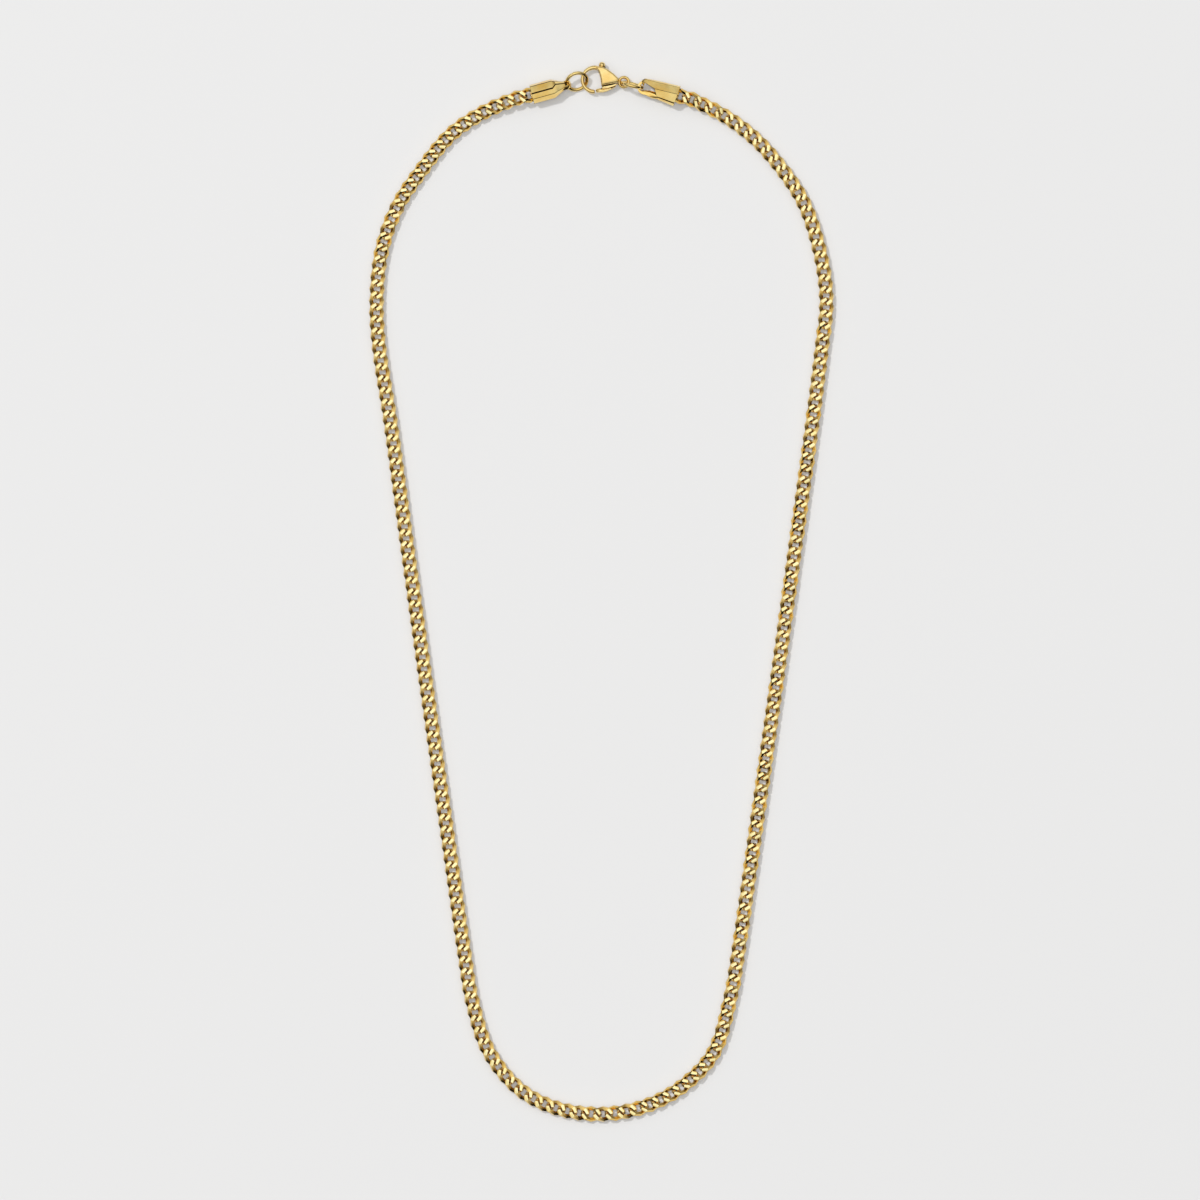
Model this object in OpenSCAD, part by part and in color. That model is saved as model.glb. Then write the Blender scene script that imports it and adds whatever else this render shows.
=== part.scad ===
// Gold neck chain with a lobster clasp, lying closed on a flat surface.
// X runs to the right, Y towards the clasp and Z up. The origin is under the middle of the
// loop, on the surface that the necklace lies on.

/* [Loop] */
// Width of the loop, between the middle lines of its two sides
loop_w = 110.2; // [104:0.2:116]
// Length of the loop, from the middle of the claw to the chain's middle line at the bottom
loop_l = 253.4; // [245:0.2:260]

/* [Chain] */
// Distance from one link to the next along the chain
link_pitch = 2.94; // [2.6:0.02:3.4]
// Width across the chain
chain_w = 3.8; // [3.4:0.05:4]
// Thickness of the chain as it lies
chain_h = 2.3; // [2.1:0.05:2.6]
// Wire of one link, over its corners
link_wire = 0.96; // [0.8:0.02:1]
// Play between two links when the chain is pulled straight
link_play = 0.14; // [0.12:0.01:0.2]

/* [End caps] */
// Length of an end cap from its mouth to the end of its bail
cap_l = 9.8; // [9.6:0.1:10.5]
// Width of an end cap over its corners
cap_w = 4.8; // [4.7:0.05:5.4]
// Sheet that the end caps are folded from
cap_wall = 0.3; // [0.2:0.02:0.34]
// Straight part of the cap before it narrows
cap_straight = 5.2; // [4.8:0.1:5.6]
// Width of the open seam along a cap
seam_w = 0.2; // [0.1:0.05:0.4]
// Pin that holds the last link in its cap
cap_pin_d = 0.8; // [0.6:0.05:0.9]
// Width of the strap that makes the bail
bail_w = 1.2; // [1:0.1:1.3]
// Thickness of the strap that makes the bail
bail_t = 0.45; // [0.35:0.05:0.5]
// Opening of the bail, from strap to strap
bail_gap = 2.1; // [2.05:0.05:2.3]
// Straight part of the bail, between the cap's neck and the bend
bail_straight = 1.1; // [1:0.1:1.4]
// Length of the bail's strap inside the neck
bail_sunk = 0.6; // [0.4:0.1:0.8]

/* [Jump rings] */
// Wire of the two jump rings
ring_wire = 0.84; // [0.7:0.02:0.88]
// Outer diameter of the two jump rings
ring_d = 5.9; // [5.8:0.02:6]
// How far the ring at the claw leans over
end_ring_lean = 40; // [38:1:42]
// How far the ring at the eye leans out of the upright
clasp_ring_lean = 8; // [0:1:12]

/* [Clasp] */
// Thickness of the clasp's body
clasp_t = 3.4; // [3.2:0.1:3.6]
// Radius of the claw, to the middle of its wire
claw_r = 2.95; // [2.9:0.01:3]
// Wire of the claw
claw_wire = 0.8; // [0.7:0.02:0.84]
// Outer diameter of the eye
eye_d = 3; // [2.8:0.1:3.2]
// Hole in the eye
eye_hole = 1.7; // [1.64:0.02:1.8]
// Thickness of the eye
eye_t = 0.8; // [0.6:0.05:0.9]
// Slot in the body that the lever swings in
slot_t = 1.4; // [1.2:0.05:1.6]
// Pin that the lever turns on
pivot_d = 0.6; // [0.5:0.05:0.7]
// Play round the pivot pin
pivot_play = 0.04; // [0.02:0.01:0.06]
// Metal of the lever round its pivot hole
boss_wall = 0.35; // [0.25:0.05:0.4]
// Play between the lever and each side of its slot
lever_play = 0.08; // [0.05:0.01:0.12]
// Depth that the ends of the pivot pin lie under the body's faces
pin_recess = 0.1; // [0:0.05:0.2]
// Thumb ball on the lever
knob_d = 1.6; // [1.4:0.05:1.8]
// Thickness of the rib that closes the claw
gate_t = 2; // [1.8:0.05:2.2]
// Opening of the lever away from rest
lever_turn = 0; // [0:1:20]

/* [Hidden] */

// Route of the chain's middle line round the loop, seen from above, and the width and length
// of the loop that it was drawn for
ROUTE = [[-29.5, 117.2], [-37.2, 111.8], [-44.2, 103.2], [-50, 94.4], [-53.8, 83.8], [-55.1, 71.5],
         [-54.4, 59.2], [-51.6, 41], [-47.5, 10.5], [-42.4, -26.5], [-37.2, -63.2], [-33.6, -88.5],
         [-31.6, -100.5], [-27.8, -112.2], [-20.6, -121.4], [-11.2, -126.4], [0.1, -127.9],
         [11.2, -125.8], [20.8, -120.3], [27.8, -112.2], [31.5, -99.8], [33.6, -87.7],
         [37.1, -63.2], [42.3, -26.5], [47.4, 10.5], [51.6, 41], [53.9, 59.2], [55.1, 71.5],
         [53.4, 83.8], [49, 96.4], [40.6, 108], [32.4, 115.2]];
ROUTE_SIZE = [110.2, 253.4];
route_steps = 12;

// Where the pieces at the clasp lie. The caps and rings are placed from the middle of the claw,
// and so are the points of the clasp itself.
claw_at = in_loop([-1.75, 125.5]);
left_mouth = claw_at + [-15, -3.55];
right_mouth = claw_at + [19.95, -3.85];
left_out = left_mouth + [-4.95, -1.35];
right_out = right_mouth + [5.8, -1.85];
end_ring_at = claw_at + [-4.3, -0.45];
clasp_ring_at = claw_at + [9.25, -1.35];
eye_at = [7.25, -0.6];
pivot_at = [4.45, -0.15];
knob_at = [1.85, 3.65];
cap_z = cap_w / 2;
left_turn = 15.4;
right_turn = 166.5;
left_bail_roll = 32;
right_bail_roll = 90;
left_seam_roll = 90;
right_seam_roll = 45;
end_ring_turn = 20;
clasp_ring_turn = -14;

// How far a cutting shape passes out of a solid, and out of a face that it only opens
cut = 1;
skin = 0.01;

// A link is a stretched ring of wire whose two ends are twisted apart. It rises to the top at
// the inside of its front end and at the outside of its rear end.
link_sides = 5;
link_stations = 8;
flat_share = cos(180 / link_sides);
link_half_l = (link_pitch + link_wire + link_play) / 2;
link_half_w = (chain_w - link_wire) / 2;
link_rise = (chain_h - flat_share * link_wire) / 2;
link_corner = 360 / link_sides;
station_warp = 9;
last_link_in = 1.8;
climb_l = 14;
aim_l = link_pitch / 5;

ring_r = (ring_d - ring_wire) / 2;
clasp_z = clasp_t / 2;
end_ring_z = ring_r * sin(end_ring_lean) + ring_wire / 2;
clasp_ring_z = ring_r * cos(clasp_ring_lean) + ring_wire / 2;

function in_loop(p) = [p.x * loop_w / ROUTE_SIZE.x, p.y * loop_l / ROUTE_SIZE.y];
function unit(v) = v / norm(v);
function along(p, angle, l) = [p.x + l * cos(angle), p.y + l * sin(angle)];
function blend(a, b, c, d, t) =
    b + (c - a) * t / 2 + (2 * a - 5 * b + 4 * c - d) * t * t / 2
    + (3 * b - a - 3 * c + d) * t * t * t / 2;

// The whole route: straight out of the left cap, round the loop and straight into the right one
route_ends_out = 2.4;
route_lead = 3;
first_at = along(left_mouth, left_turn, last_link_in);
last_at = along(right_mouth, right_turn, last_link_in);
route = concat([along(left_mouth, left_turn, last_link_in + route_lead), first_at,
                along(left_mouth, left_turn, -route_ends_out), left_out],
               [for (p = ROUTE) in_loop(p)],
               [right_out, along(right_mouth, right_turn, -route_ends_out), last_at,
                along(right_mouth, right_turn, last_link_in + route_lead)]);
path = [for (i = [1:len(route) - 3]) for (k = [0:route_steps - 1])
            blend(route[i - 1], route[i], route[i + 1], route[i + 2], k / route_steps), last_at];
path_at = [for (i = 0, s = 0; i < len(path);
                i = i + 1, s = i < len(path) ? s + norm(path[i] - path[i - 1]) : s) s];
path_l = path_at[len(path_at) - 1];
table_x = [for (i = [0:len(path) - 1]) [path_at[i], path[i].x]];
table_y = [for (i = [0:len(path) - 1]) [path_at[i], path[i].y]];
link_count = round(path_l / link_pitch) + 1;
link_step = path_l / (link_count - 1);
split_link = floor(link_count / 2);

// One link's wire, in the link's own frame
function link_u(i) = 360 * i / link_stations;
function link_point(u) = let (t = u - station_warp * sin(2 * u))
    [link_half_l * cos(t), link_half_w * sin(t), link_rise * sin(2 * u)];
function link_ring(u) =
    let (tangent = unit(link_point(u + 1) - link_point(u - 1)),
         out = unit(cross(tangent, [0, 0, 1])), up = cross(out, tangent),
         first = 90 + link_corner / 4 * (1 + sin(2 * u)))
    [for (k = [0:link_sides - 1])
        let (a = first + link_corner * k)
        link_point(u) + link_wire / 2 * (cos(a) * out + sin(a) * up)];
link_points = [for (i = [0:link_stations - 1]) each link_ring(link_u(i))];
link_low = min([for (p = link_points) p.z]);

// The chain lies on the surface and climbs to the middle of a cap over its last links
function smooth(t) = t < 0 ? 0 : t > 1 ? 1 : t * t * (3 - 2 * t);
function near_end(s) = min(s, path_l - s);
function climb(s) = 1 - smooth((near_end(s) - 2 * last_link_in) / climb_l);
function route_z(s) = (cap_z + link_low) * climb(s) - link_low;
function route_at(s) = [lookup(s, table_x), lookup(s, table_y), route_z(s)];

function placed_link(n) =
    let (s = n * link_step, at = route_at(s),
         ahead = route_at(min(s + aim_l, path_l)), back = route_at(max(s - aim_l, 0)),
         front = unit(ahead - back), side = unit(cross([0, 0, 1], front)), up = cross(front, side))
    [for (p = link_points) at + p.x * front + p.y * side + p.z * up];

function link_faces(first) =
    [for (i = [0:link_stations - 1]) for (k = [0:link_sides - 1])
        let (a = first + i * link_sides, b = first + (i + 1) % link_stations * link_sides,
             m = (k + 1) % link_sides)
        each [[a + k, a + m, b + m], [a + k, b + m, b + k]]];

module links(from, to) {
    n_points = link_stations * link_sides;
    polyhedron(points = [for (n = [from:to]) each placed_link(n)],
               faces = [for (n = [from:to]) each link_faces((n - from) * n_points)]);
}

module chain_left() {
    color("gold")
    links(0, split_link - 1);
}

module chain_right() {
    color("gold")
    links(split_link, link_count - 1);
}

// Outline of a cap in its length, mouth at x = 0: straight, then narrowing to the neck
module cap_side(half_w, half_neck, straight, neck_at) {
    linear_extrude(cap_w * 2, center = true)
    polygon([[-cut, -half_w], [straight, -half_w], [neck_at, -half_neck], [neck_at, half_neck],
             [straight, half_w], [-cut, half_w]]);
}

module cap_form(w, l, half_neck) {
    intersection() {
        rotate([0, 90, 0])
        cylinder(h = l, d = w, $fn = 8);
        cap_side(w / 2, half_neck, cap_straight, l);
        rotate([90, 0, 0])
        cap_side(w / 2, half_neck, cap_straight, l);
    }
}

// A loop of strap, bent round the jump ring, with both ends on the neck of the cap
bail_r = bail_gap / 2 + bail_t;
neck_l = cap_l - bail_r - bail_straight;
module bail() {
    bend_at = cap_l - bail_r;
    difference() {
        union() {
            translate([bend_at, 0, 0])
            cylinder(h = bail_w, r = bail_r, center = true, $fn = 48);
            translate([neck_l - bail_sunk, -bail_r, -bail_w / 2])
            cube([bend_at - neck_l + bail_sunk, 2 * bail_r, bail_w]);
        }
        translate([bend_at, 0, 0])
        cylinder(h = bail_w * 2, d = bail_gap, center = true, $fn = 48);
        translate([neck_l - cut, -bail_gap / 2, -bail_w])
        cube([bend_at - neck_l + cut, bail_gap, bail_w * 2]);
    }
}

module end_cap(mouth, turn, bail_roll, seam_roll) {
    pin_at = last_link_in + link_half_l - link_wire / 2 - cap_pin_d / 2 - link_play;
    translate([mouth.x, mouth.y, cap_z])
    rotate([0, 0, turn]) {
        difference() {
            cap_form(cap_w, neck_l, bail_r);
            translate([-skin, 0, 0])
            cap_form(cap_w - 2 * cap_wall, neck_l - bail_t, bail_r - cap_wall);
            rotate([seam_roll, 0, 0])
            translate([-cut, -seam_w / 2, 0])
            cube([cap_straight + cut, seam_w, cap_w]);
        }
        rotate([bail_roll - 90, 0, 0])
        bail();
        intersection() {
            translate([pin_at, 0, -cap_w])
            cylinder(h = 2 * cap_w, d = cap_pin_d, $fn = 32);
            cap_form(cap_w - cap_wall, neck_l, bail_r);
        }
    }
}

module end_cap_left() {
    color("goldenrod")
    end_cap(left_mouth, left_turn, left_bail_roll, left_seam_roll);
}

module end_cap_right() {
    color("goldenrod")
    end_cap(right_mouth, right_turn, right_bail_roll, right_seam_roll);
}

module jump_ring() {
    rotate_extrude($fn = 96)
    translate([ring_r, 0])
    circle(d = ring_wire, $fn = 32);
}

module end_ring() {
    color("goldenrod")
    translate([end_ring_at.x, end_ring_at.y, end_ring_z])
    rotate([end_ring_lean, 0, end_ring_turn])
    jump_ring();
}

module clasp_ring() {
    color("goldenrod")
    translate([clasp_ring_at.x, clasp_ring_at.y, clasp_ring_z])
    rotate([90 + clasp_ring_lean, 0, clasp_ring_turn])
    jump_ring();
}

// The clasp's outlines seen from above, from the middle of the claw, each corner with the
// radius that rounds it
PLATE = [[0.25, 3.25, 0.35], [1.35, 1, 3], [1.7, -1.5, 0.45], [5.85, -0.7, 0.3], [6.3, 0, 0.5],
         [1.95, 3.2, 1.6]];
WEB = [[1.35, 3.8, 0.2], [1.85, 1.7, 1], [1.9, -1.1, 0.5], [1.35, -1.9, 0.3], [0.55, -2.4, 0.2],
       [pivot_at.x + 0.6, -1.7, 0.3], [pivot_at.x + 0.8, 0.4, 0.7], [3.15, 1.5, 1.2],
       [2.35, 3.8, 0.2]];
RIB = [[0.2, -2.4, 0.25], [0.25, -3.15, 0.3], [1.95, -3.1, 1.5], [3.75, -2.65, 1.5],
       [pivot_at.x + 0.85, -1.65, 0.15], [3.75, -2.1, 1], [2.25, -2.45, 0.5], [1.65, -1.75, 0.3]];
boss_d = pivot_d + 2 * (pivot_play + boss_wall);
slot_from = 0.9;
slot_past_pivot = 0.9;
corner_steps = 6;
claw_root = 75;
claw_tip = 270;

function point_angle(v) = atan2(v.y, v.x);
function rounded_corner(a, p, b, r) =
    let (u = unit(a - p), v = unit(b - p), half = acos(u * v) / 2,
         middle = p + unit(u + v) * r / sin(half),
         from = point_angle(p + u * r / tan(half) - middle),
         to = point_angle(p + v * r / tan(half) - middle),
         sweep = (to - from + 540) % 360 - 180)
    [for (k = [0:corner_steps]) along(middle, from + sweep * k / corner_steps, r)];
function corner(table, i) = let (p = table[i % len(table)]) [p.x, p.y];
function rounded(table) = let (n = len(table))
    [for (i = [0:n - 1])
        each rounded_corner(corner(table, i + n - 1), corner(table, i), corner(table, i + 1),
                            table[i].z)];

module slab(table, thickness) {
    linear_extrude(thickness, center = true)
    polygon(rounded(table));
}

module clasp_body() {
    color("goldenrod")
    translate([claw_at.x, claw_at.y, clasp_z]) {
        difference() {
            union() {
                slab(PLATE, clasp_t);
                translate([eye_at.x, eye_at.y, 0])
                cylinder(h = eye_t, d = eye_d, center = true, $fn = 48);
                rotate([0, 0, claw_root])
                rotate_extrude(angle = claw_tip - claw_root, $fn = 96)
                translate([claw_r, 0])
                circle(d = claw_wire, $fn = 32);
            }
            translate([slot_from, -claw_r - cut, -slot_t / 2])
            cube([pivot_at.x + slot_past_pivot - slot_from, 2 * (claw_r + cut), slot_t]);
            translate([eye_at.x, eye_at.y, 0])
            cylinder(h = clasp_t, d = eye_hole, center = true, $fn = 48);
        }
        translate([pivot_at.x, pivot_at.y, 0])
        cylinder(h = clasp_t - 2 * pin_recess, d = pivot_d, center = true, $fn = 32);
    }
}

module clasp_lever() {
    web_t = slot_t - 2 * lever_play;
    color("goldenrod")
    translate([claw_at.x + pivot_at.x, claw_at.y + pivot_at.y, clasp_z])
    rotate([0, 0, -lever_turn])
    translate([-pivot_at.x, -pivot_at.y, 0])
    difference() {
        union() {
            slab(WEB, web_t);
            slab(RIB, gate_t);
            translate([pivot_at.x, pivot_at.y, 0])
            cylinder(h = web_t, d = boss_d, center = true, $fn = 48);
            translate([knob_at.x, knob_at.y, 0])
            sphere(d = knob_d, $fn = 48);
        }
        translate([pivot_at.x, pivot_at.y, 0])
        cylinder(h = clasp_t, d = pivot_d + 2 * pivot_play, center = true, $fn = 32);
    }
}

chain_left();
chain_right();
end_cap_left();
end_cap_right();
end_ring();
clasp_ring();
clasp_body();
clasp_lever();
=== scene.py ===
import math

import bpy
import numpy as np
from mathutils import Matrix, Vector


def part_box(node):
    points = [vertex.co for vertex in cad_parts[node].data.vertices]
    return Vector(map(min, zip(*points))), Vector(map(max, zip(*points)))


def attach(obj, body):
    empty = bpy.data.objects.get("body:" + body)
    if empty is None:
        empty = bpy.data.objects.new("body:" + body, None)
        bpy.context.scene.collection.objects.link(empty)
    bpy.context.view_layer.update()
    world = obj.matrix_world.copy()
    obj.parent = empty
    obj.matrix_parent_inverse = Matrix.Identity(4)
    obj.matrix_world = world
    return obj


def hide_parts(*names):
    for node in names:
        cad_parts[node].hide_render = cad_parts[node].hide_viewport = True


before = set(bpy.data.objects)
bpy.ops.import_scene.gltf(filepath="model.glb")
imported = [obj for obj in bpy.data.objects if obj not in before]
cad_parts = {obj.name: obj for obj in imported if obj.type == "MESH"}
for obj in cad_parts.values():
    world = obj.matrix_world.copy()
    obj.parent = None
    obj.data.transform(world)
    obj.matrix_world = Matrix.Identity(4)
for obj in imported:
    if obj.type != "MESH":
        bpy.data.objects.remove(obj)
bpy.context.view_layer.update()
mm = 0.001
mergeDistance = 0.002 * mm


# shared helpers

def hexColour(code):
    channels = [int(code[i:i + 2], 16) / 255 for i in (0, 2, 4)]
    linear = [c / 12.92 if c <= 0.04045 else ((c + 0.055) / 1.055) ** 2.4 for c in channels]
    return (*linear, 1)


def addNode(tree, kind, settings=None, inputs=None):
    node = tree.nodes.new(kind)
    for name, value in (settings or {}).items():
        setattr(node, name, value)
    for name, value in (inputs or {}).items():
        if isinstance(value, bpy.types.NodeSocket):
            tree.links.new(value, node.inputs[name])
        else:
            node.inputs[name].default_value = value
    return node


def objectMode():
    if bpy.context.object and bpy.context.object.mode != "OBJECT":
        bpy.ops.object.mode_set(mode="OBJECT")


def deselectAll():
    objectMode()
    bpy.ops.object.select_all(action="DESELECT")


def pick(piece):
    deselectAll()
    piece.select_set(True)
    bpy.context.view_layer.objects.active = piece


def editMode(selectMode="VERT"):
    bpy.ops.object.mode_set(mode="EDIT")
    bpy.ops.mesh.select_mode(type=selectMode)


def selectWhere(piece, kind, test):
    # faces, edges or vertices are picked by where they are, as with a box select
    objectMode()
    mesh = piece.data
    for element in list(mesh.vertices) + list(mesh.edges) + list(mesh.polygons):
        element.select = False
    for element in getattr(mesh, kind):
        element.select = test(element)
    editMode({"vertices": "VERT", "edges": "EDGE", "polygons": "FACE"}[kind])


def applyPlace(piece):
    pick(piece)
    bpy.ops.object.transform_apply(location=True, rotation=True, scale=True)


def addModifier(piece, kind, **settings):
    pick(piece)
    modifier = piece.modifiers.new(kind.title(), kind)
    for name, value in settings.items():
        setattr(modifier, name, value)
    bpy.ops.object.modifier_apply(modifier=modifier.name)


def cleanMesh(piece):
    pick(piece)
    editMode()
    bpy.ops.mesh.select_all(action="SELECT")
    bpy.ops.mesh.remove_doubles(threshold=mergeDistance)
    bpy.ops.mesh.normals_make_consistent(inside=False)
    objectMode()


def smoothByAngle(piece, degrees):
    pick(piece)
    bpy.ops.object.shade_smooth_by_angle(angle=math.radians(degrees))


def joinPieces(pieces, name):
    deselectAll()
    for piece in pieces:
        piece.select_set(True)
    bpy.context.view_layer.objects.active = pieces[0]
    if len(pieces) > 1:
        bpy.ops.object.join()
    joined = bpy.context.object
    joined.name = name
    joined.data.name = name
    return joined


def taperedBar(stations, tall):
    # a bar along a path, as wide at each station as is given there
    deselectAll()
    bpy.ops.mesh.primitive_circle_add(vertices=len(stations), radius=1 * mm)
    bar = bpy.context.object
    for vertex, (x, y, _) in zip(bar.data.vertices, stations):
        vertex.co = (x * mm, y * mm, 0)
    last = len(stations) - 1
    selectWhere(bar, "edges", lambda edge: set(edge.vertices) == {0, last})
    bpy.ops.mesh.delete(type="EDGE_FACE")
    objectMode()
    bpy.ops.object.convert(target="CURVE")
    path = bpy.context.object
    path.data.dimensions = "3D"
    path.data.bevel_depth = 1 * mm
    path.data.bevel_resolution = 3
    path.data.use_fill_caps = True
    for point in path.data.splines[0].points:
        point.radius = min(stations, key=lambda s: abs(s[0] * mm - point.co.x))[2]
    bpy.ops.object.convert(target="MESH")
    bar = bpy.context.object
    bar.scale = (1, 1, tall)
    applyPlace(bar)
    cleanMesh(bar)
    return bar


# camera, floor and light

camera = {
    "lens": 400,               # a very long lens from straight above, as the photograph was taken
    "sensor": 36,
    "seenWidth": 294 * mm,     # what the square picture takes in
    "lookAt": (-0.37 * mm, -1.96 * mm, 1.2 * mm),
}
studio = {
    # brightness of the room by height, from the foot of the walls to overhead
    "room": [(0.0, "121212"), (0.26, "262524"), (0.34, "6E6C6A"), (0.6, "9C9A98"), (0.68, "C4C3C2"),
             (0.88, "E2E2E2"), (0.94, "FFFFFF")],
    "roomStrength": 1.15,
    "roomLean": (12, 6, 0),    # degrees that the bright part leans towards the lower right
    "floorShade": "C8C8C8",
    "floorWide": 3,            # metres
    "floorBelow": 0.03 * mm,   # so that nothing that rests on it shows through
    "keyPlace": (-2.4, 2.1, 5),
    "keySize": 0.5,
    "keyPower": 180,
    "topPlace": (0, 0, 4.2),   # lights the floor through the links
    "topSize": 1.0,
    "topPower": 73,
}
bpy.context.scene.view_settings.view_transform = "Standard"

bpy.ops.object.camera_add(location=(0, 0, 1))
shotCamera = bpy.context.object
shotCamera.name = "shotCamera"
shotCamera.data.lens = camera["lens"]
shotCamera.data.sensor_width = camera["sensor"]
cameraAway = camera["seenWidth"] * camera["lens"] / camera["sensor"]
shotCamera.location = Vector(camera["lookAt"]) + Vector((0, 0, cameraAway))
shotCamera.data.clip_start = 0.01
bpy.context.scene.camera = shotCamera

world = bpy.data.worlds.new("softStudio")
bpy.context.scene.world = world
world.use_nodes = True
sky = world.node_tree
sky.nodes.clear()
skyAt = addNode(sky, "ShaderNodeTexCoord")
skyTurn = addNode(sky, "ShaderNodeMapping",
                  inputs={"Vector": skyAt.outputs["Generated"],
                          "Rotation": [math.radians(a) for a in studio["roomLean"]]})
skyHeight = addNode(sky, "ShaderNodeSeparateXYZ", inputs={"Vector": skyTurn.outputs["Vector"]})
skyRamp = addNode(sky, "ShaderNodeValToRGB", inputs={"Fac": skyHeight.outputs["Z"]})
skyRamp.color_ramp.elements.remove(skyRamp.color_ramp.elements[1])
for height, shade in studio["room"]:
    skyRamp.color_ramp.elements.new(height).color = hexColour(shade)
skyLight = addNode(sky, "ShaderNodeBackground",
                   inputs={"Color": skyRamp.outputs["Color"], "Strength": studio["roomStrength"]})
addNode(sky, "ShaderNodeOutputWorld", inputs={"Surface": skyLight.outputs["Background"]})


def addSoftbox(name, place, size, power):
    bpy.ops.object.light_add(type="AREA", location=place)
    box = bpy.context.object
    box.name = name
    box.data.shape = "DISK"
    box.data.size = size
    box.data.energy = power
    box.rotation_euler = Vector(place).to_track_quat("Z", "Y").to_euler()
    box.visible_glossy = False     # the metal mirrors the room, not the lamps


addSoftbox("keyLight", studio["keyPlace"], studio["keySize"], studio["keyPower"])
addSoftbox("topLight", studio["topPlace"], studio["topSize"], studio["topPower"])

deselectAll()
bpy.ops.mesh.primitive_plane_add(size=studio["floorWide"], location=(0, 0, -studio["floorBelow"]))
floor = bpy.context.object
floor.name = "paleFloor"
print("camera, floor and lights are set")


# materials

def newMaterial(name):
    material = bpy.data.materials.new(name)
    material.use_nodes = True
    material.node_tree.nodes.clear()
    return material


def finishMaterial(material, shader):
    addNode(material.node_tree, "ShaderNodeOutputMaterial", inputs={"Surface": shader.outputs["BSDF"]})


def platedGold(name, look):
    # stainless steel under thin gold plating: a little paler and redder in patches, the polish uneven
    material = newMaterial(name)
    tree = material.node_tree
    at = addNode(tree, "ShaderNodeTexCoord")
    stretched = addNode(tree, "ShaderNodeMapping",
                        inputs={"Vector": at.outputs["Object"], "Scale": look.get("stretch", (1, 1, 1))})
    patches = addNode(tree, "ShaderNodeTexNoise",
                      inputs={"Vector": at.outputs["Object"], "Scale": 1 / (look["patch"] * mm),
                              "Detail": 3})
    tint = addNode(tree, "ShaderNodeValToRGB", inputs={"Fac": patches.outputs["Fac"]})
    tint.color_ramp.elements[0].position = 0.35
    tint.color_ramp.elements[0].color = hexColour(look["deep"])
    tint.color_ramp.elements[1].position = 0.65
    tint.color_ramp.elements[1].color = hexColour(look["pale"])
    grain = addNode(tree, "ShaderNodeTexNoise",
                    inputs={"Vector": stretched.outputs["Vector"], "Scale": 1 / (look["grain"] * mm),
                            "Detail": 4})
    polish = addNode(tree, "ShaderNodeMapRange",
                     inputs={"Value": grain.outputs["Fac"], "From Min": 0.3, "From Max": 0.7,
                             "To Min": look["smooth"], "To Max": look["rough"]})
    dents = addNode(tree, "ShaderNodeTexNoise",
                    inputs={"Vector": at.outputs["Object"], "Scale": 1 / (look["dent"] * mm),
                            "Detail": 1})
    waves = addNode(tree, "ShaderNodeBump",
                    inputs={"Height": dents.outputs["Fac"], "Strength": 1,
                            "Distance": look["dentDepth"] * mm})
    marks = addNode(tree, "ShaderNodeBump",
                    inputs={"Height": grain.outputs["Fac"], "Strength": look["markStrength"],
                            "Distance": look["markDepth"] * mm, "Normal": waves.outputs["Normal"]})
    shader = addNode(tree, "ShaderNodeBsdfPrincipled",
                     inputs={"Base Color": tint.outputs["Color"], "Metallic": 1,
                             "Roughness": polish.outputs["Result"], "Normal": marks.outputs["Normal"]})
    finishMaterial(material, shader)
    return material


# drawn wire, tumbled after linking: clear reflections, faint waves
polishedLinkGold = platedGold("plated steel wire, tumbled", {
    "deep": "E6BE66", "pale": "F2D284", "patch": 3, "dent": 1.2, "dentDepth": 0.03, "grain": 0.25,
    "smooth": 0.08, "rough": 0.16, "markStrength": 0.2, "markDepth": 0.02})
# faces cut by a diamond tool, the flattest part, with fine cutting marks; their palest colour is a painted
# highlight for the overhead light that the flat faces mirror
cutFacetHighlightGold = platedGold("plated steel, diamond cut, with painted highlight", {
    "deep": "FBEBA4", "pale": "FFF5BE", "patch": 2, "dent": 1.2, "dentDepth": 0.02, "grain": 0.12,
    "smooth": 0.18, "rough": 0.3, "markStrength": 0.3, "markDepth": 0.01})
# rolled sheet folded over, with lines of the rolling along it
foldedSheetGold = platedGold("plated steel sheet, folded", {
    "deep": "F2C567", "pale": "FFE79C", "patch": 4, "dent": 2.5, "dentDepth": 0.09, "grain": 0.5,
    "smooth": 0.07, "rough": 0.15, "markStrength": 0.2, "markDepth": 0.02, "stretch": (0.15, 1.5, 1.5)})
# wire bent to a ring and closed
ringWireGold = platedGold("plated steel wire, bent", {
    "deep": "EECA78", "pale": "FCE29A", "patch": 3, "dent": 1.5, "dentDepth": 0.06, "grain": 0.3,
    "smooth": 0.08, "rough": 0.16, "markStrength": 0.2, "markDepth": 0.02})
# investment cast and barrel tumbled: soft, even and slightly clouded
castClaspGold = platedGold("plated steel, cast and tumbled", {
    "deep": "F0CC7E", "pale": "FBE29E", "patch": 3, "dent": 1.8, "dentDepth": 0.08, "grain": 0.2,
    "smooth": 0.16, "rough": 0.26, "markStrength": 0.3, "markDepth": 0.015})

# painted shade: dark, dull plated steel put where shade falls, in the clasp's slot, in the caps' folds and
# inside their sheet; it makes the black line beside the lever
paintedShadeGold = platedGold("plated steel, painted shade", {
    "deep": "3A2A12", "pale": "4E3A1A", "patch": 1, "dent": 1, "dentDepth": 0.03, "grain": 0.2,
    "smooth": 0.5, "rough": 0.7, "markStrength": 0.4, "markDepth": 0.02})

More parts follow.
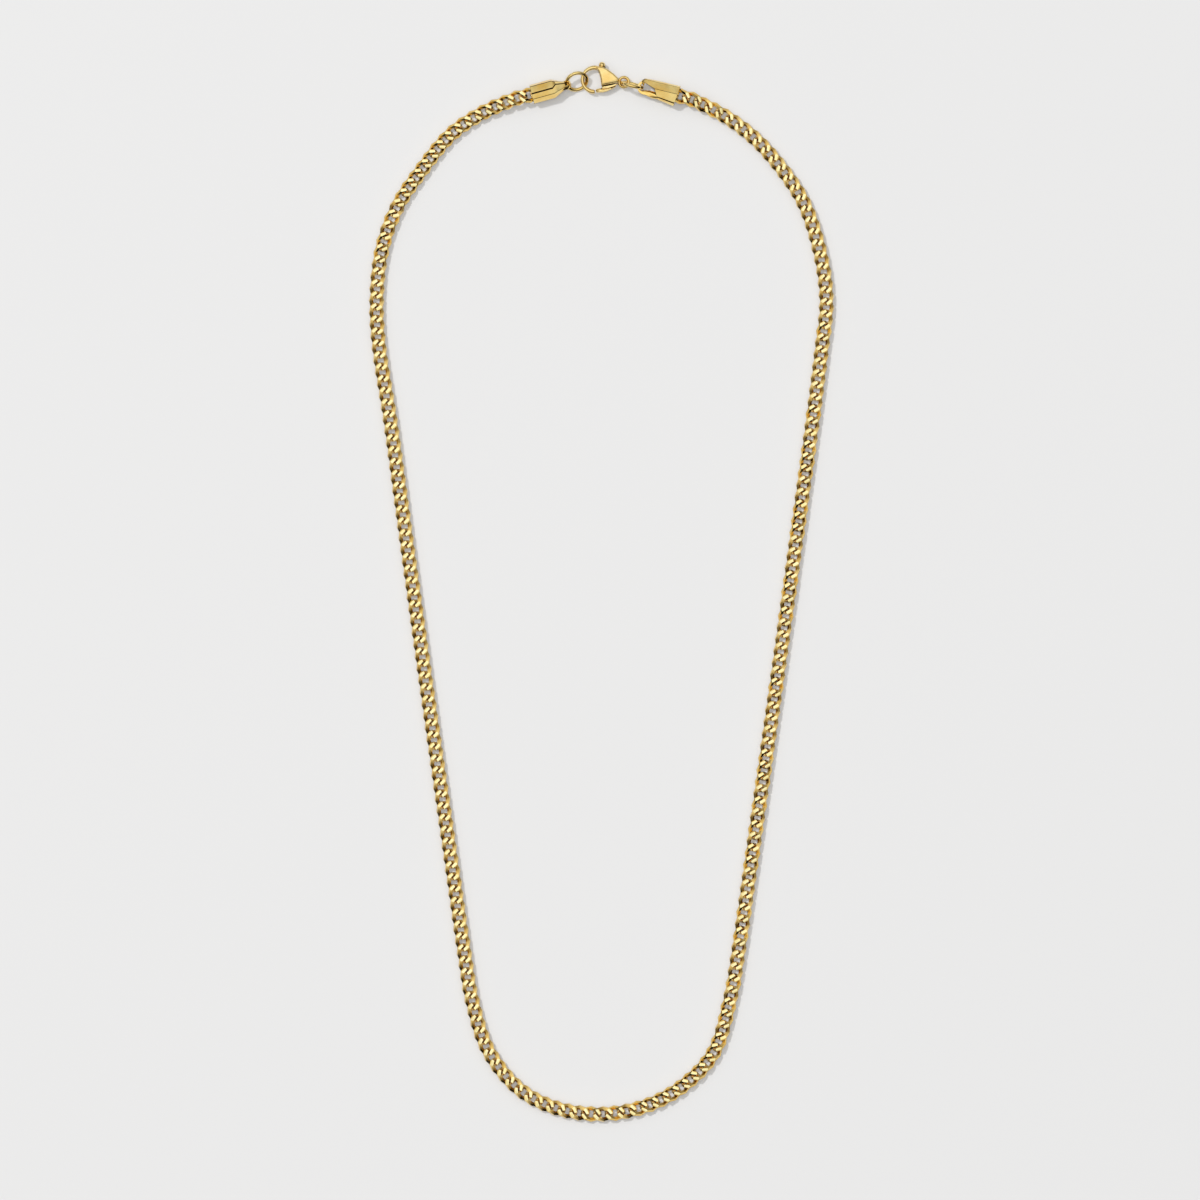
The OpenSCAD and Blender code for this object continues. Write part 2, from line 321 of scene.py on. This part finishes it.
floorPaper = newMaterial("matt backdrop paper")    # even and pale, no gloss
paperTree = floorPaper.node_tree
paperAt = addNode(paperTree, "ShaderNodeTexCoord")
paperFibre = addNode(paperTree, "ShaderNodeTexNoise",
                     inputs={"Vector": paperAt.outputs["Object"], "Scale": 900, "Detail": 3})
paperShade = addNode(paperTree, "ShaderNodeBump",
                     inputs={"Height": paperFibre.outputs["Fac"], "Strength": 0.05, "Distance": 0.05 * mm})
paperShader = addNode(paperTree, "ShaderNodeBsdfPrincipled",
                      inputs={"Base Color": hexColour(studio["floorShade"]), "Roughness": 0.9,
                              "Specular IOR Level": 0.1, "Normal": paperShade.outputs["Normal"]})
finishMaterial(floorPaper, paperShader)
floor.data.materials.append(floorPaper)
print("materials are made")


# chain

link = {
    "halfLength": 2.04,     # mm, to the middle of the wire
    "halfWidth": 1.38,
    "rise": 0.82,           # how far front and rear ends are twisted up and down
    "level": 2,             # how level the wire stays at its highest, which lengthens the cut faces
    "lean": 19,             # degrees that the stations are drawn towards the ends
    "wire": 1.12,
    "stations": 12,
    "sectionDetail": 1,     # 6 sides
    "cutHeight": 1.15,      # the diamond cut, from the middle of the link
}


def linkWirePlace(u):
    t = u - math.radians(link["lean"]) * math.sin(2 * u)
    height = math.tanh(link["level"] * math.sin(2 * u)) / math.tanh(link["level"])
    return Vector((link["halfLength"] * math.cos(t), link["halfWidth"] * math.sin(t),
                   link["rise"] * height)) * mm


deselectAll()
bpy.ops.mesh.primitive_circle_add(vertices=link["stations"], radius=link["halfLength"] * mm)
oneLink = bpy.context.object
for i, vertex in enumerate(oneLink.data.vertices):
    vertex.co = linkWirePlace(2 * math.pi * i / link["stations"])
bpy.ops.object.convert(target="CURVE")
oneLink.data.dimensions = "3D"
oneLink.data.bevel_depth = link["wire"] / 2 * mm
oneLink.data.bevel_resolution = link["sectionDetail"]
bpy.ops.object.convert(target="MESH")
oneLink = bpy.context.object
cleanMesh(oneLink)
for side in (1, -1):
    pick(oneLink)
    editMode()
    bpy.ops.mesh.select_all(action="SELECT")
    bpy.ops.mesh.bisect(plane_co=(0, 0, side * link["cutHeight"] * mm), plane_no=(0, 0, side),
                        use_fill=True, clear_outer=True, threshold=0.0001 * mm)
    objectMode()
oneLink.data.materials.append(polishedLinkGold)
oneLink.data.materials.append(cutFacetHighlightGold)
# the cut faces take the paler material: a painted highlight
for face in oneLink.data.polygons:
    if abs(face.center.z) > (link["cutHeight"] - 0.01) * mm:
        face.material_index = 1
smoothByAngle(oneLink, 32)
print("one link has", len(oneLink.data.polygons), "faces")


def linkPlaces(nodeName):
    # the CAD's links are set apart, and each one's long, middle and short axis gives its place
    deselectAll()
    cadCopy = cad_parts[nodeName].copy()
    cadCopy.data = cadCopy.data.copy()
    cadCopy.parent = None
    bpy.context.scene.collection.objects.link(cadCopy)
    cleanMesh(cadCopy)
    editMode()
    bpy.ops.mesh.select_all(action="SELECT")
    bpy.ops.mesh.separate(type="LOOSE")
    objectMode()
    loose = list(bpy.context.selected_objects)
    places = []
    for part in loose:
        points = np.array([v.co for v in part.data.vertices])
        middle = points.mean(axis=0)
        axes = np.linalg.svd(points - middle, full_matrices=False)[2]
        along, across = Vector(axes[0]), Vector(axes[1])
        places.append((Vector(middle), along, across, along.cross(across)))
    bpy.ops.object.delete()
    return places


def layLinks(nodeName, name):
    copies = []
    for middle, along, across, up in linkPlaces(nodeName):
        turn = Matrix((along, across, up)).transposed().to_4x4()
        copied = oneLink.copy()
        copied.data = oneLink.data.copy()
        copied.data.transform(Matrix.Translation(middle) @ turn)
        bpy.context.scene.collection.objects.link(copied)
        copies.append(copied)
    laid = joinPieces(copies, name)
    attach(laid, "necklace")
    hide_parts(nodeName)
    print(name, "has", len(laid.data.polygons), "faces")
    return laid


layLinks("chain_left", "linksLeft")
layLinks("chain_right", "linksRight")
bpy.data.objects.remove(oneLink)


# end caps

capLeft = {
    "mouth": (-16.75, 121.95, 2.4),
    "turn": 15.4,
    # corners of the folded sheet at the mouth, across and up, from one side of the seam to the other
    "corners": [(0.12, 2.38), (1.89, 1.48), (2.38, -0.33), (1.54, -1.84), (0, -2.4),
                (-1.89, -1.48), (-2.38, 0.33), (-1.96, 1.3), (-1.31, 2.12), (0, 2.38)],
    # along, scale across and up, the line that it narrows to, and how far the seam steps aside
    "sections": [(-0.35, 1, 1, 0, 0), (5, 1, 1, 0, 0), (5.9, 0.82, 0.93, 0, 0.75),
                 (8.2, 0.37, 0.62, 0, 0.42)],
    "mouthSlant": 0,
    "endSlant": 0,
    "flare": 0,
    "shadeLineFolds": [0, 1, 9],      # corners whose fold or edge gets a painted shade line
    "openFrom": None,
    "bailRoll": 32,
    "length": 9.6,
    "strapWide": 0.95,
    "strapThick": 0.42,
    "arm": None,
}
capRight = {
    "mouth": (18.2, 121.65, 2.4),
    "turn": 166.5,
    "corners": [(1.98, 1.5), (2.4, 0.4), (2.2, -0.95), (0.9, -2.2), (-0.9, -2.2), (-2.2, -0.95),
                (-2.4, 0.5), (-2.02, 1.5), (-0.25, 2.39), (1.7, 1.98)],
    # it narrows to one side, which leaves the three-cornered window
    "sections": [(-0.35, 1, 1, 0, 0), (5.4, 1, 1, 0, 0), (8.2, 0.48, 0.4, -2.15, 0),
                 (8.9, 0.2, 0.25, -1.3, 0)],
    "mouthSlant": 0.13,
    "endSlant": 0.6,             # the flap's end is cut at a slant
    "flare": 0.13,               # how much wider the flap's side is at the mouth than at its end
    "shadeLineFolds": [7, 8, 9],
    "openFrom": -0.8,            # no sheet on the neck from here across
    "bailRoll": 90,
    "length": 9.65,
    "strapWide": 1.2,
    "strapThick": 0.65,
    # the other side of the bail comes from under the flap: along, across, half width
    "arm": [(4.1, 1.15, 0.8), (5.4, 1.22, 0.85), (6.6, 1.12, 0.72), (7.6, 1.05, 0.48), (8.5, 1.02, 0.26)],
}
cap = {
    "wall": 0.3,
    "foldRadius": 0.16,
    "foldShadeHalf": 0.2,        # half the width of the painted shade line in a fold
    "strapGap": 2.1,        # room for the jump ring in the bail
    "pin": 0.8,             # across; the pin stands for the crimp on the last link
    "pinLong": 4.3,
    "pinAt": 2.79,
}


def isOnFold(at, fold):
    along = [point.x for point in fold]
    offAcross = at.y - np.interp(at.x, along, [point.y for point in fold])
    above = at.z - np.interp(at.x, along, [point.z for point in fold])
    return abs(offAcross) < cap["foldShadeHalf"] and above > -0.7 * cap["wall"]


def foldShell(shape):
    deselectAll()
    corners = shape["corners"]
    bpy.ops.mesh.primitive_circle_add(vertices=len(corners), radius=2.4 * mm)
    shell = bpy.context.object
    for vertex, (across, up) in zip(shell.data.vertices, corners):
        vertex.co = (0, across * mm, up * mm)
    shell.location = (shape["sections"][0][0] * mm, 0, 0)
    applyPlace(shell)
    last = len(corners) - 1
    selectWhere(shell, "edges", lambda edge: set(edge.vertices) == {0, last})
    bpy.ops.mesh.delete(type="EDGE_FACE")      # opens the seam
    bpy.ops.mesh.select_all(action="SELECT")
    for before, after in zip(shape["sections"], shape["sections"][1:]):
        step = (after[0] - before[0]) * mm
        bpy.ops.mesh.extrude_edges_move(TRANSFORM_OT_translate={"value": (step, 0, 0)})
        bpy.ops.transform.resize(value=(1, after[1] / before[1], after[2] / before[2]),
                                 center_override=(0, after[3] * mm, 0))
    objectMode()
    straightEnd = shape["sections"][1][0]
    rings = [section for section in shape["sections"] for _ in corners]
    for i, vertex in enumerate(shell.data.vertices):
        if i % len(corners) in (0, last):
            vertex.co.y += rings[i][4] * mm
    for vertex in shell.data.vertices:
        along = vertex.co.x / mm
        if vertex.co.y > 0:
            vertex.co.y *= 1 + shape["flare"] * (1 - 2 * along / straightEnd)
            if along > straightEnd - 0.1:
                vertex.co.x -= shape["endSlant"] * vertex.co.y
        if along < 0:
            vertex.co.x += shape["mouthSlant"] * vertex.co.y
    # where the folds and the seam's edges run, for the painted shade lines
    points = [vertex.co / mm for vertex in shell.data.vertices]
    foldsAt = [points[k::len(corners)] for k in shape["shadeLineFolds"]]
    if shape["openFrom"] is not None:
        selectWhere(shell, "polygons", lambda face: face.center.x > (straightEnd - 0.5) * mm
                    and face.center.y > shape["openFrom"] * mm)
        bpy.ops.mesh.delete(type="FACE")
        objectMode()
    addModifier(shell, "SOLIDIFY", thickness=cap["wall"] * mm, offset=1)
    cleanMesh(shell)
    addModifier(shell, "BEVEL", width=cap["foldRadius"] * mm, segments=2, limit_method="ANGLE",
                angle_limit=math.radians(20))
    shell.data.materials.append(foldedSheetGold)
    shell.data.materials.append(paintedShadeGold)
    # faces turned inwards and thin faces along those folds get the painted shade material
    for face in shell.data.polygons:
        facing = face.normal.y * face.center.y + face.normal.z * face.center.z
        inward = facing < -0.3 * face.center.length
        at = face.center / mm
        onFold = face.area < mm * mm and any(isOnFold(at, fold) for fold in foldsAt)
        face.material_index = 1 if inward or onFold else 0
    return shell


def bendStrap(shape):
    # flat strap: out from the neck, round the jump ring and back
    outer = cap["strapGap"] / 2 + shape["strapThick"]
    middle = cap["strapGap"] / 2 + shape["strapThick"] / 2
    bendAt = shape["length"] - outer
    start = shape["sections"][1][0] - 0.2
    deselectAll()
    bpy.ops.mesh.primitive_plane_add(size=1, location=(0, 0, 0), rotation=(0, math.pi / 2, 0))
    strap = bpy.context.object
    strap.scale = (shape["strapWide"] * mm, shape["strapThick"] * mm, 1)
    strap.location = (start * mm, middle * mm, 0)
    applyPlace(strap)
    editMode("FACE")
    bpy.ops.mesh.select_all(action="SELECT")
    bpy.ops.mesh.extrude_region_move(TRANSFORM_OT_translate={"value": ((bendAt - start) * mm, 0, 0)})
    bpy.ops.mesh.spin(steps=14, angle=math.pi, center=(bendAt * mm, 0, 0), axis=(0, 0, 1))
    bpy.ops.mesh.extrude_region_move(TRANSFORM_OT_translate={"value": ((start - bendAt) * mm, 0, 0)})
    cleanMesh(strap)
    addModifier(strap, "BEVEL", width=0.1 * mm, segments=2, limit_method="ANGLE",
                angle_limit=math.radians(50))
    strap.rotation_euler = (math.radians(shape["bailRoll"] - 90), 0, 0)
    applyPlace(strap)
    return strap


def makeCap(shape, nodeName, name):
    shell = foldShell(shape)
    strap = bendStrap(shape)
    deselectAll()
    bpy.ops.mesh.primitive_cylinder_add(vertices=16, radius=cap["pin"] / 2 * mm, depth=cap["pinLong"] * mm,
                                        location=(cap["pinAt"] * mm, 0, 0))
    crimpPin = bpy.context.object
    addModifier(crimpPin, "BEVEL", width=0.08 * mm, segments=2, limit_method="ANGLE")
    parts = [strap, crimpPin]
    if shape["arm"]:
        parts.append(taperedBar(shape["arm"], 0.85))
    for part in parts:
        part.data.materials.clear()
        part.data.materials.append(foldedSheetGold)
    parts.insert(0, shell)
    whole = joinPieces(parts, name)
    whole.location = [place * mm for place in shape["mouth"]]
    whole.rotation_euler = (0, 0, math.radians(shape["turn"]))
    applyPlace(whole)
    smoothByAngle(whole, 40)
    addModifier(whole, "WEIGHTED_NORMAL", keep_sharp=True)     # keeps the sheet's faces flat
    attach(whole, "necklace")
    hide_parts(nodeName)
    print(name, "has", len(whole.data.polygons), "faces")


makeCap(capLeft, "end_cap_left", "capLeft")
makeCap(capRight, "end_cap_right", "capRight")


# jump rings

ring = {
    "wire": 0.88,
    "outside": 5.92,
    "steps": 56,
    "sides": 12,
    "seamDegrees": 2,       # the hairline where the two ends of the wire meet
}


def makeRing(nodeName, name, lean, turn, seamAt):
    low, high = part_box(nodeName)
    middleRadius = (ring["outside"] - ring["wire"]) / 2 * mm
    deselectAll()
    bpy.ops.mesh.primitive_circle_add(vertices=ring["sides"], radius=ring["wire"] / 2 * mm, fill_type="NGON",
                                      location=(middleRadius, 0, 0), rotation=(math.pi / 2, 0, 0))
    bent = bpy.context.object
    applyPlace(bent)
    editMode("FACE")
    bpy.ops.mesh.select_all(action="SELECT")
    bpy.ops.mesh.spin(steps=ring["steps"], angle=math.radians(360 - ring["seamDegrees"]),
                      center=(0, 0, 0), axis=(0, 0, 1))
    cleanMesh(bent)
    addModifier(bent, "BEVEL", width=0.04 * mm, segments=2, limit_method="ANGLE",
                angle_limit=math.radians(60))
    bent.rotation_euler = (0, 0, math.radians(seamAt))
    applyPlace(bent)
    bent.rotation_euler = (math.radians(lean), 0, math.radians(turn))
    bent.location = (low + high) / 2
    applyPlace(bent)
    bent.name = name
    bent.data.name = name
    bent.data.materials.append(ringWireGold)
    smoothByAngle(bent, 40)
    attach(bent, "necklace")
    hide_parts(nodeName)
    print(name, "has", len(bent.data.polygons), "faces")


makeRing("end_ring", "endRing", 40, 20, 100)
makeRing("clasp_ring", "claspRing", 98, -14, 250)


# clasp

clasp = {
    "middle": (-1.75, 125.5, 1.7),      # mm, the middle of the claw
    "plate": [(0.25, 3.3), (0.85, 2.35), (1.35, 1), (1.62, -0.4), (1.7, -1.5), (5.85, -0.72), (6.2, 0),
              (4.85, 1.35), (3.3, 2.5), (1.95, 3.2)],
    "plateMiddle": (2.9, 0.7),
    # height and scale of the plate's layers, from the slot outwards
    "plateLayers": [(0.7, 1), (1.02, 1), (1.2, 0.99), (1.36, 0.965), (1.49, 0.925), (1.58, 0.87),
                    (1.65, 0.77), (1.69, 0.6)],
    "blocks": [[(0.3, 3.2), (0.55, 2.75), (0.88, 2.25), (0.88, 3.2)],
               [(5.4, -0.75), (5.9, -0.6), (6.1, 0.05), (5.4, 0.75)]],
    "clawRadius": 2.95,
    "clawFrom": 74,                     # degrees
    "clawTo": 272,
    "clawWire": [(74, 1.1), (110, 1), (150, 0.84), (215, 0.82), (240, 1), (264, 1.04), (272, 0.9)],
    "eyeAt": (7.25, -0.6),
    "eyeOutside": 3.1,
    "eyeWire": (0.72, 0.8),             # across and in height
    "pivotAt": (4.45, -0.15),
    "web": [(1.35, 3.7), (1.75, 2), (1.85, 0.5), (1.85, -1.9), (1.3, -2.6), (2, -2.8), (3.4, -2.3),
            (4.9, -1.5), (5.1, 0.4), (3.15, 1.6), (2.8, 2.8), (2.5, 3.6)],
    "webHalf": 0.36,
    "rib": [(0.36, -2.74, 0.32), (0.7, -2.7, 0.48), (1.4, -2.62, 0.54), (2.1, -2.66, 0.47), (3, -2.5, 0.38),
            (4.1, -2.12, 0.28), (5.2, -1.62, 0.14)],         # along, across, half width
    "ribTall": 1.8,                     # height of the rib to its width
    "strip": [(1.9, -1.72), (2.02, -2.25), (3.2, -2.08), (4.6, -1.66), (5.6, -1.2), (5.5, -1),
              (4.2, -1.36), (2.9, -1.62)],
    "stripMiddle": (3.6, -1.62),
    "stripLayers": [(-0.62, 0.93), (-0.52, 1), (0.52, 1), (0.62, 0.93)],
    "pivotPin": (0.6, 3.2),             # across and long
    "knobAt": (1.87, 3.56),
    "knob": 1.58,
}


def layeredSlab(outline, layers, middle, roundCorner):
    # a flat outline drawn up layer by layer, each a little smaller towards its middle
    deselectAll()
    bpy.ops.mesh.primitive_circle_add(vertices=len(outline), radius=1 * mm, fill_type="NGON")
    slab = bpy.context.object
    for vertex, (x, y) in zip(slab.data.vertices, outline):
        vertex.co = (x * mm, y * mm, layers[0][0] * mm)
    pick(slab)
    editMode()
    bpy.ops.mesh.select_all(action="SELECT")
    bpy.ops.mesh.bevel(offset=roundCorner * mm, segments=3, affect="VERTICES")
    bpy.ops.mesh.select_all(action="SELECT")
    height, size = layers[0]
    for nextHeight, nextSize in layers[1:]:
        bpy.ops.mesh.extrude_region_move(
            TRANSFORM_OT_translate={"value": (0, 0, (nextHeight - height) * mm)})
        bpy.ops.transform.resize(value=(nextSize / size, nextSize / size, 1),
                                 center_override=(middle[0] * mm, middle[1] * mm, 0))
        height, size = nextHeight, nextSize
    cleanMesh(slab)
    return slab


def mirroredBelow(piece):
    below = piece.copy()
    below.data = piece.data.copy()
    bpy.context.scene.collection.objects.link(below)
    below.scale = (1, 1, -1)
    applyPlace(below)
    cleanMesh(below)
    return below


def spunWire(radius, wide, high, start, end, steps):
    deselectAll()
    bpy.ops.mesh.primitive_circle_add(vertices=14, radius=0.5 * mm, fill_type="NGON",
                                      location=(radius * mm, 0, 0), rotation=(math.pi / 2, 0, 0))
    wire = bpy.context.object
    wire.scale = (wide, high, 1)
    wire.rotation_euler = (math.pi / 2, 0, 0)
    applyPlace(wire)
    editMode("FACE")
    bpy.ops.mesh.select_all(action="SELECT")
    bpy.ops.mesh.spin(steps=steps, angle=math.radians(end - start), center=(0, 0, 0), axis=(0, 0, -1))
    cleanMesh(wire)
    return wire


def makeClaw():
    claw = spunWire(clasp["clawRadius"], 1, 1, clasp["clawFrom"], clasp["clawTo"], 48)
    angles = [a for a, _ in clasp["clawWire"]]
    widths = [w for _, w in clasp["clawWire"]]
    for vertex in claw.data.vertices:
        around = math.atan2(vertex.co.y, vertex.co.x)
        degrees = math.degrees(around) % 360
        wide = np.interp(degrees % 355, [a - clasp["clawFrom"] for a in angles], widths)
        middle = Vector((math.cos(around), math.sin(around), 0)) * clasp["clawRadius"] * mm
        vertex.co = middle + (vertex.co - middle) * float(wide)
    addModifier(claw, "BEVEL", width=0.16 * mm, segments=3, limit_method="ANGLE",
                angle_limit=math.radians(60))
    claw.rotation_euler = (0, 0, math.radians(clasp["clawFrom"]))
    applyPlace(claw)
    return claw


def makeEye():
    wide, high = clasp["eyeWire"]
    eye = spunWire((clasp["eyeOutside"] - wide) / 2, wide, high, 0, 360, 40)
    eye.location = (clasp["eyeAt"][0] * mm, clasp["eyeAt"][1] * mm, 0)
    applyPlace(eye)
    return eye


def pinAtPivot(across, depth):
    deselectAll()
    bpy.ops.mesh.primitive_cylinder_add(vertices=20, radius=across / 2 * mm, depth=depth * mm,
                                        location=(*[p * mm for p in clasp["pivotAt"]], 0))
    pin = bpy.context.object
    addModifier(pin, "BEVEL", width=0.06 * mm, segments=2, limit_method="ANGLE")
    return pin


def finishCast(pieces, nodeName, name, body, paintedShadeWhere):
    cast = joinPieces(pieces, name)
    cast.location = [place * mm for place in clasp["middle"]]
    cast.data.materials.clear()
    cast.data.materials.append(castClaspGold)
    cast.data.materials.append(paintedShadeGold)
    # faces where shade falls get the painted shade material
    for face in cast.data.polygons:
        face.material_index = 1 if paintedShadeWhere(face.center / mm, face.normal) else 0
    applyPlace(cast)
    smoothByAngle(cast, 50)
    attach(cast, body)
    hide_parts(nodeName)
    print(name, "has", len(cast.data.polygons), "faces")


plateAbove = layeredSlab(clasp["plate"], clasp["plateLayers"], clasp["plateMiddle"], 0.22)
bodyPieces = [plateAbove, mirroredBelow(plateAbove), makeClaw(), makeEye(), pinAtPivot(*clasp["pivotPin"])]
for block in clasp["blocks"]:
    bodyPieces.append(layeredSlab(block, [(-0.75, 1), (0.75, 1)], block[0], 0.05))
# painted shade on the flat faces inside the slot
finishCast(bodyPieces, "clasp_body", "claspCast", "necklace",
           lambda at, normal: abs(at.z) < 0.72 and abs(normal.z) > 0.9 and 0.9 < at.x < 5.4)

web = layeredSlab(clasp["web"], [(-clasp["webHalf"], 1), (clasp["webHalf"], 1)], (0, 0), 0.1)
deselectAll()
bpy.ops.mesh.primitive_uv_sphere_add(segments=24, ring_count=14, radius=clasp["knob"] / 2 * mm,
                                     location=(*[k * mm for k in clasp["knobAt"]], 0))
knob = bpy.context.object
leverPieces = [web, knob, taperedBar(clasp["rib"], clasp["ribTall"]),
               layeredSlab(clasp["strip"], clasp["stripLayers"], clasp["stripMiddle"], 0.08)]
# painted shade on the web's flat faces: the black line beside the lever
finishCast(leverPieces, "clasp_lever", "leverCast", "lever",
           lambda at, normal: abs(at.z) <= clasp["webHalf"] + 0.01 and abs(normal.z) > 0.9
           and at.y < 2 and at.x > 1)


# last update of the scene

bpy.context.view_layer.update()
deselectAll()
